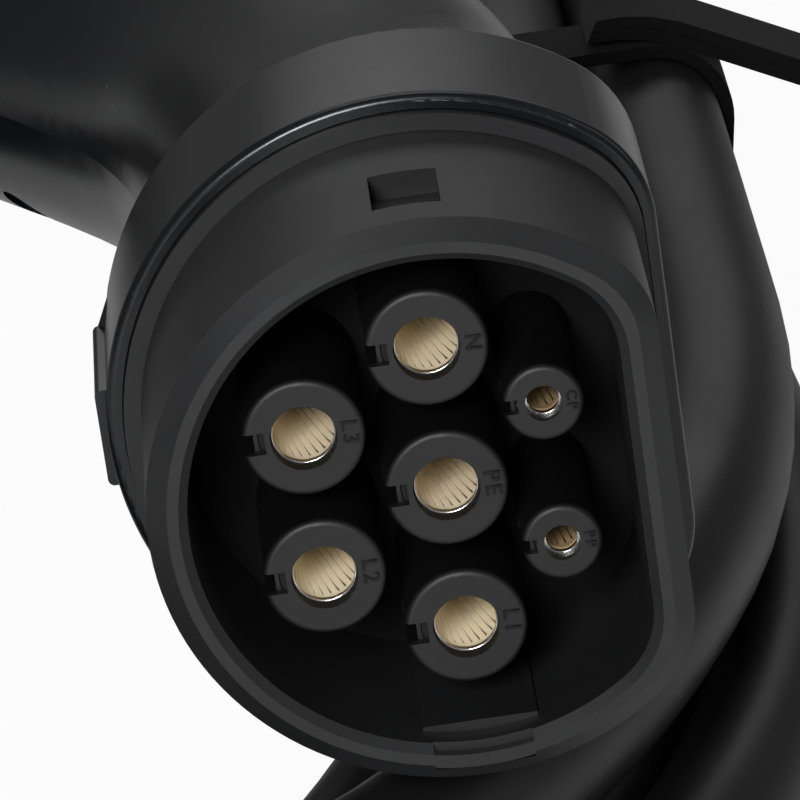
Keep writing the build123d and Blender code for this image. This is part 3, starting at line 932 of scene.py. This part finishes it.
@dataclass
class Lead:
    """The lead: from the boot, down to the folded turns, and out to its open end."""

    diameter: float = 17.0
    surface: float = -68.25
    top: float = -33.25
    fold_right: float = 32.5
    fold_start: float = 134.0
    fold_far: float = 372.0
    near_radius: float = 205.0
    near_turn: float = 35.0
    near_end_radius: float = 82.0
    far_steps: int = 6
    near_steps: int = 5
    right_stations: tuple[float, ...] = (310.0, 250.0, 190.0)
    left_stations: tuple[float, ...] = (105.0, 160.0, 215.0)

    route: tuple[Point, ...] = (
        (-104.93, 252.75, 0.0),
        (-123.28, 278.96, 0.0),
        (-143.0, 312.0, -9.0),
        (-154.0, 350.0, -26.0),
        (-157.0, 385.0, -41.0),
    )
    tail: tuple[Point, ...] = (
        (-169.0, 205.0, -59.75),
        (-179.0, 247.0, -59.75),
        (-192.0, 287.0, -59.75),
        (-202.0, 329.0, -59.75),
        (-206.0, 372.0, -59.75),
    )
    turns: tuple[Turn, ...] = (
        Turn(far=3.0, right=(3.0, 3.0, 3.0), bend=(3.0, 3.0), near=3.0, left=3.0),
        Turn(
            far=-14.2,
            right=(-14.2, -14.2, -14.2),
            bend=(-16.5, -19.0),
            near=-18.5,
            left=-18.5,
            sink=(1.2, 10.0),
        ),
        Turn(far=-15.0, right=(-17.2, -17.2, -14.5), bend=(-9.0, -3.0), near=-1.5, left=-1.5, low=True),
        Turn(far=2.5, right=(0.0, 0.0, 3.5), bend=(8.2, 14.0), near=15.5, left=15.5, low=True),
    )

    def arc(
        self, centre: tuple[float, float], radius: float, start: float, stop: float, steps: int
    ) -> list[tuple[float, float]]:
        """Control points round an arc, on the tangents of its ends.

        Args:
            centre: the arc's centre.
            radius: its radius.
            start: first angle in degrees, from +X.
            stop: last angle.
            steps: how many control points.

        Returns:
            The points in plan.
        """
        step = math.radians((stop - start) / steps)
        outside = radius / math.cos(step / 2)
        angles = [math.radians(start) + step * (k + 0.5) for k in range(steps)]
        return [(centre[0] + outside * math.cos(t), centre[1] + outside * math.sin(t)) for t in angles]

    def turn_points(self, turn: Turn) -> list[Point]:
        """Control points of one turn, clockwise from the top of the left side.

        Args:
            turn: how far outside the middle line it lies at each place, and its layer.

        Returns:
            Points of the turn, down to the lower part of the left side.
        """
        a = math.radians(self.near_turn)
        shift = self.near_radius - self.near_end_radius
        gentle = (self.fold_right - self.near_radius, self.fold_start)
        centre = (gentle[0] + shift * math.cos(a), gentle[1] - shift * math.sin(a))
        side = centre[0] - self.near_end_radius
        far_radius = (self.fold_right - side) / 2
        far = (side + far_radius, self.fold_far)
        places = self.arc(far, far_radius + turn.far, 180, 0, self.far_steps)
        places += [(self.fold_right + out, y) for out, y in zip(turn.right, self.right_stations)]
        half = self.near_turn / 2
        for k, out in enumerate(turn.bend):
            places += self.arc(gentle, self.near_radius + out, -half * k, -half * (k + 1), 1)
        end_radius = self.near_end_radius + turn.near
        places += self.arc(centre, end_radius, -self.near_turn, -180, self.near_steps)
        places += [(side - turn.left, y) for y in self.left_stations]
        upper, lower = self.top - self.diameter / 2, self.surface + self.diameter / 2
        heights = [lower if turn.low else upper] * len(places)
        if turn.sink:
            start = self.far_steps + len(turn.right)
            heights[start:] = [upper - drop for drop in turn.sink]
            heights += [lower] * (len(places) - len(heights))
        return [(x, y, z) for (x, y), z in zip(places, heights)]

    def points(self) -> list[Point]:
        """Every control point of the lead, in millimetres."""
        turns = [point for turn in self.turns for point in self.turn_points(turn)]
        return [*self.route, *turns[:-1], *self.tail]

    def line(self, name: str, resolution: int) -> bpy.types.Object:
        """The lead's middle line as one NURBS curve without thickness.

        Args:
            name: the object's name.
            resolution: steps between two control points.

        Returns:
            The curve object.
        """
        data = bpy.data.curves.new(name, "CURVE")
        data.dimensions = "3D"
        spline = data.splines.new("NURBS")
        places = self.points()
        spline.points.add(len(places) - 1)
        for point, place in zip(spline.points, places):
            point.co = (*(c * MM for c in place), 1.0)
        spline.order_u = 3
        spline.use_endpoint_u = True
        spline.resolution_u = resolution
        return new_object(name, data)

    def curve(self) -> bpy.types.Object:
        """The lead as one round curve."""
        lead = self.line("charging_lead", 6)
        lead.data.bevel_depth = self.diameter / 2 * MM
        lead.data.bevel_resolution = 10
        lead.data.use_fill_caps = True
        return lead

    def length(self) -> float:
        """Length of the lead's middle line, in metres."""
        line = plain_mesh(self.line("measure", 12), "measured")
        spots = [v.co.copy() for v in line.data.vertices]
        bpy.data.objects.remove(line)
        return sum((b - a).length for a, b in zip(spots, spots[1:]))

    def ties(self) -> list[bpy.types.Object]:
        """The two ties, each round the turns as they lie there."""
        left = self.fold_right - self.near_radius * (1 - math.cos(math.radians(self.near_turn)))
        left -= self.near_end_radius * (1 + math.cos(math.radians(self.near_turn)))
        return [
            Tie("tie_right", self.fold_right, 1, 221.25, (3.0, -14.2, -17.0, 0.3)).build(),
            Tie("tie_left", left, -1, 130.0, (3.0, 3.0, -18.5, 15.5)).build(),
        ]

    def build(self, frame: dict) -> None:
        lead = self.curve()
        dress(lead, SHEATH)
        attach(lead, BODY)
        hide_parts("lead_tube", "lead_bundle", "lead_tail")
        metres = round(self.length(), 2)
        nodes = frame["nodes"]
        on_it = [nodes[n] for n in ("end_sleeve", "end_cores", "end_ferrules")] + self.ties()
        tuple(c * MM for c in self.route[0])
        LOG.info("lead: %.2f m", metres)


# ------------------------------------------------------------------ CAD nodes


@dataclass
class Plug:
    """The rigid pieces, dressed. Lengths in metres."""

    lip_depth: float = 0.0021
    lip_share: float = 0.64
    finishes: dict[str, Finish] = field(
        default_factory=lambda: {
            "mating_sleeve": SLEEVE,
            "contact_carrier": CARRIER,
            "contact_retainer": CARRIER,
            "retainer_screws": STEEL,
            "housing_upper": HOUSING,
            "housing_lower": HOUSING,
            "housing_screws": STEEL,
            "clamp_saddle": CARRIER,
            "clamp_screws": STEEL,
            "gland_nut": HOUSING,
            "bend_boot": RUBBER,
            "coding_resistor": RESISTOR,
            "lead_in_grip": SHEATH,
            "end_sleeve": RUBBER,
            "end_ferrules": TINNED,
        }
    )

    def dress(self, frame: dict) -> None:
        """Give each CAD piece its finish.
        """
        nodes = frame["nodes"]
        for name, finish in self.finishes.items():
            dress(nodes[name], finish)
        for name, node in nodes.items():
            if name.startswith("contact_") and name not in self.finishes:
                self.dress_contact(node)
            if name.startswith("wire_"):
                dress(node, core_finish(name.removeprefix("wire_")))
        self.dress_recess_painted_shade(nodes["contact_carrier"])
        self.dress_cores(nodes["end_cores"])
        LOG.info("dressed %d pieces", len(nodes))

    def dress_recess_painted_shade(self, node: bpy.types.Object) -> None:
        """Leave the carrier's tower faces satin, and give the moulding behind them painted shade: a darker,
        duller black.
        """
        node.data.materials.append(RECESS_PAINTED_SHADE.material())
        for face in node.data.polygons:
            # Faces deeper than the tower faces take the darker painted shade of the recess.
            face.material_index = int(face.center.y > self.lip_depth)

    def dress_contact(self, node: bpy.types.Object) -> None:
        """Bright plating in the mouth of a contact, gold in its bore and a dark, dull outside.

        Args:
            node: the contact.
        """
        low, high = Vector(node.bound_box[0]), Vector(node.bound_box[6])
        middle, outside = (low + high) / 2, (high.x - low.x) / 2
        node.data.materials.clear()
        for finish in (GOLD, PLATED, DULL):
            node.data.materials.append(finish.material())
        for face in node.data.polygons:
            away = math.hypot(face.center.x - middle.x, face.center.z - middle.z)
            lip = face.center.y < low.y + self.lip_depth
            face.material_index = 2 if away > outside * self.lip_share else int(lip)

    def dress_cores(self, node: bpy.types.Object) -> None:
        """Give each core at the open end its own colour, by its place in the lead.

        Args:
            node: the cores, as one mesh.
        """
        node.data.materials.clear()
        names = list(CORE_COLOURS)
        for name in names:
            node.data.materials.append(core_finish(name).material())
        centre = sum((v.co for v in node.data.vertices), Vector()) / len(node.data.vertices)
        for face in node.data.polygons:
            away = face.center - centre
            angle = math.degrees(math.atan2(away.z, away.x)) % 360
            face.material_index = min(len(names) - 1, int(angle / 360 * len(names)))


# ------------------------------------------------------------------ studio


@dataclass
class Studio:
    """Floor, surroundings, lamps and camera. Lengths in metres."""

    floor_z: float = -0.06825
    floor_half: float = 6.0
    floor_colour: Colour = (0.86, 0.86, 0.86)
    floor_roughness: float = 0.9
    floor_glow: float = 0.955
    world_light: float = 0.08
    camera_place: Point = (-0.0039, -0.5993, 0.2491)
    right: Point = (0.9895, -0.0543, -0.1337)
    up: Point = (0.1443, 0.3665, 0.9192)
    lens: float = 296.235
    film: float = 36.0
    mirror_share: float = 0.05

    def floor(self) -> None:
        """A plain pale floor that shows white to the camera and keeps a soft shadow."""
        data = bpy.data.meshes.new("floor")
        w = self.floor_half
        corners = [(x, y, self.floor_z) for x, y in ((-w, -w), (w, -w), (w, w), (-w, w))]
        data.from_pydata(corners, [], [(0, 1, 2, 3)])
        floor = new_object("floor", data)
        mat = bpy.data.materials.new("pale_floor")
        mat.use_nodes = True
        nodes, links = mat.node_tree.nodes, mat.node_tree.links
        shader = nodes["Principled BSDF"]
        shader.inputs["Base Color"].default_value = (*self.floor_colour, 1.0)
        shader.inputs["Roughness"].default_value = self.floor_roughness
        glow, mix = nodes.new("ShaderNodeEmission"), nodes.new("ShaderNodeMixShader")
        links.new(self.seen(mat.node_tree, self.floor_glow), mix.inputs[0])
        links.new(shader.outputs[0], mix.inputs[1])
        links.new(glow.outputs[0], mix.inputs[2])
        links.new(mix.outputs[0], nodes["Material Output"].inputs["Surface"])
        data.materials.append(mat)

    def seen(self, tree: bpy.types.NodeTree, camera: float) -> bpy.types.NodeSocket:
        """A factor that depends on what kind of ray looks.

        Args:
            tree: the node tree that it is added to.
            camera: its value for the camera's own rays.

        Returns:
            The socket that gives the factor: mirror_share for rays that come by reflection or
            transmission, and 0 for every other ray.
        """
        path = tree.nodes.new("ShaderNodeLightPath")
        shares = {
            "Is Camera Ray": camera,
            "Is Glossy Ray": self.mirror_share,
            "Is Transmission Ray": self.mirror_share,
        }
        total = None
        for ray, value in shares.items():
            part = tree.nodes.new("ShaderNodeMath")
            part.operation = "MULTIPLY_ADD"
            part.use_clamp = True
            tree.links.new(path.outputs[ray], part.inputs[0])
            part.inputs[1].default_value = value
            part.inputs[2].default_value = 0.0
            if total is not None:
                tree.links.new(total, part.inputs[2])
            total = part.outputs[0]
        return total

    def world(self) -> None:
        """Surroundings that are white to look at and light the part softly."""
        world = bpy.data.worlds.new("studio")
        world.use_nodes = True
        tree = world.node_tree
        soft = tree.nodes["Background"]
        soft.inputs["Color"].default_value = (1.0, 1.0, 1.0, 1.0)
        soft.inputs["Strength"].default_value = self.world_light
        white, mix = tree.nodes.new("ShaderNodeBackground"), tree.nodes.new("ShaderNodeMixShader")
        white.inputs["Color"].default_value = (1.0, 1.0, 1.0, 1.0)
        white.inputs["Strength"].default_value = 1.0
        tree.links.new(self.seen(tree, 1.0), mix.inputs[0])
        tree.links.new(soft.outputs[0], mix.inputs[1])
        tree.links.new(white.outputs[0], mix.inputs[2])
        tree.links.new(mix.outputs[0], tree.nodes["World Output"].inputs["Surface"])
        bpy.context.scene.world = world

    def lamp(self, name: str, place: Point, aim: Point, size: tuple[float, float], power: float) -> None:
        """Add one soft panel.

        Args:
            name: the lamp's name.
            place: where it stands, in metres.
            aim: the point that it faces.
            size: width and height in metres.
            power: in watts.
        """
        data = bpy.data.lights.new(name, "AREA")
        data.shape, data.size, data.size_y, data.energy = "RECTANGLE", size[0], size[1], power
        lamp = bpy.data.objects.new(name, data)
        bpy.context.scene.collection.objects.link(lamp)
        lamp.location = place
        lamp.rotation_euler = (Vector(aim) - Vector(place)).to_track_quat("-Z", "Y").to_euler()

    def camera(self) -> None:
        """The camera, a long lens a little above the mating axis."""
        data = bpy.data.cameras.new("camera")
        data.sensor_width = self.film
        data.lens = self.lens
        data.clip_start, data.clip_end = 0.01, 20.0
        camera = bpy.data.objects.new("camera", data)
        bpy.context.scene.collection.objects.link(camera)
        right, up = Vector(self.right).normalized(), Vector(self.up).normalized()
        back = right.cross(up)
        basis = Matrix((right, up, back)).transposed().to_4x4()
        camera.matrix_world = Matrix.Translation(self.camera_place) @ basis
        bpy.context.scene.camera = camera

    def build(self) -> None:
        """Set the whole studio."""
        self.floor()
        self.world()
        self.lamp("front", (-0.16, -0.68, 0.34), (0.0, 0.0, -0.01), (0.24, 0.24), 5.0)
        self.lamp("top", (0.05, 0.55, 1.5), (0.0, 0.05, 0.0), (1.0, 0.5), 3.0)
        self.lamp("rear", (0.1, 1.7, 0.85), (0.0, 0.05, 0.0), (1.4, 0.4), 1.8)
        self.lamp("side", (1.2, -0.2, 0.7), (0.0, 0.05, 0.0), (0.4, 0.9), 1.0)
        self.camera()


def main() -> None:
    """Build the looks in order."""
    logging.basicConfig(level=logging.INFO, format="%(name)s: %(message)s")
    bpy.ops.wm.read_factory_settings(use_empty=True)
    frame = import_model()
    Plug().dress(frame)
    ContactFace().build()
    Trim().build(frame)
    Lead().build(frame)
    Studio().build()
    scene = bpy.context.scene
    scene.view_settings.view_transform = "Standard"


if __name__ == "__main__":
    main()
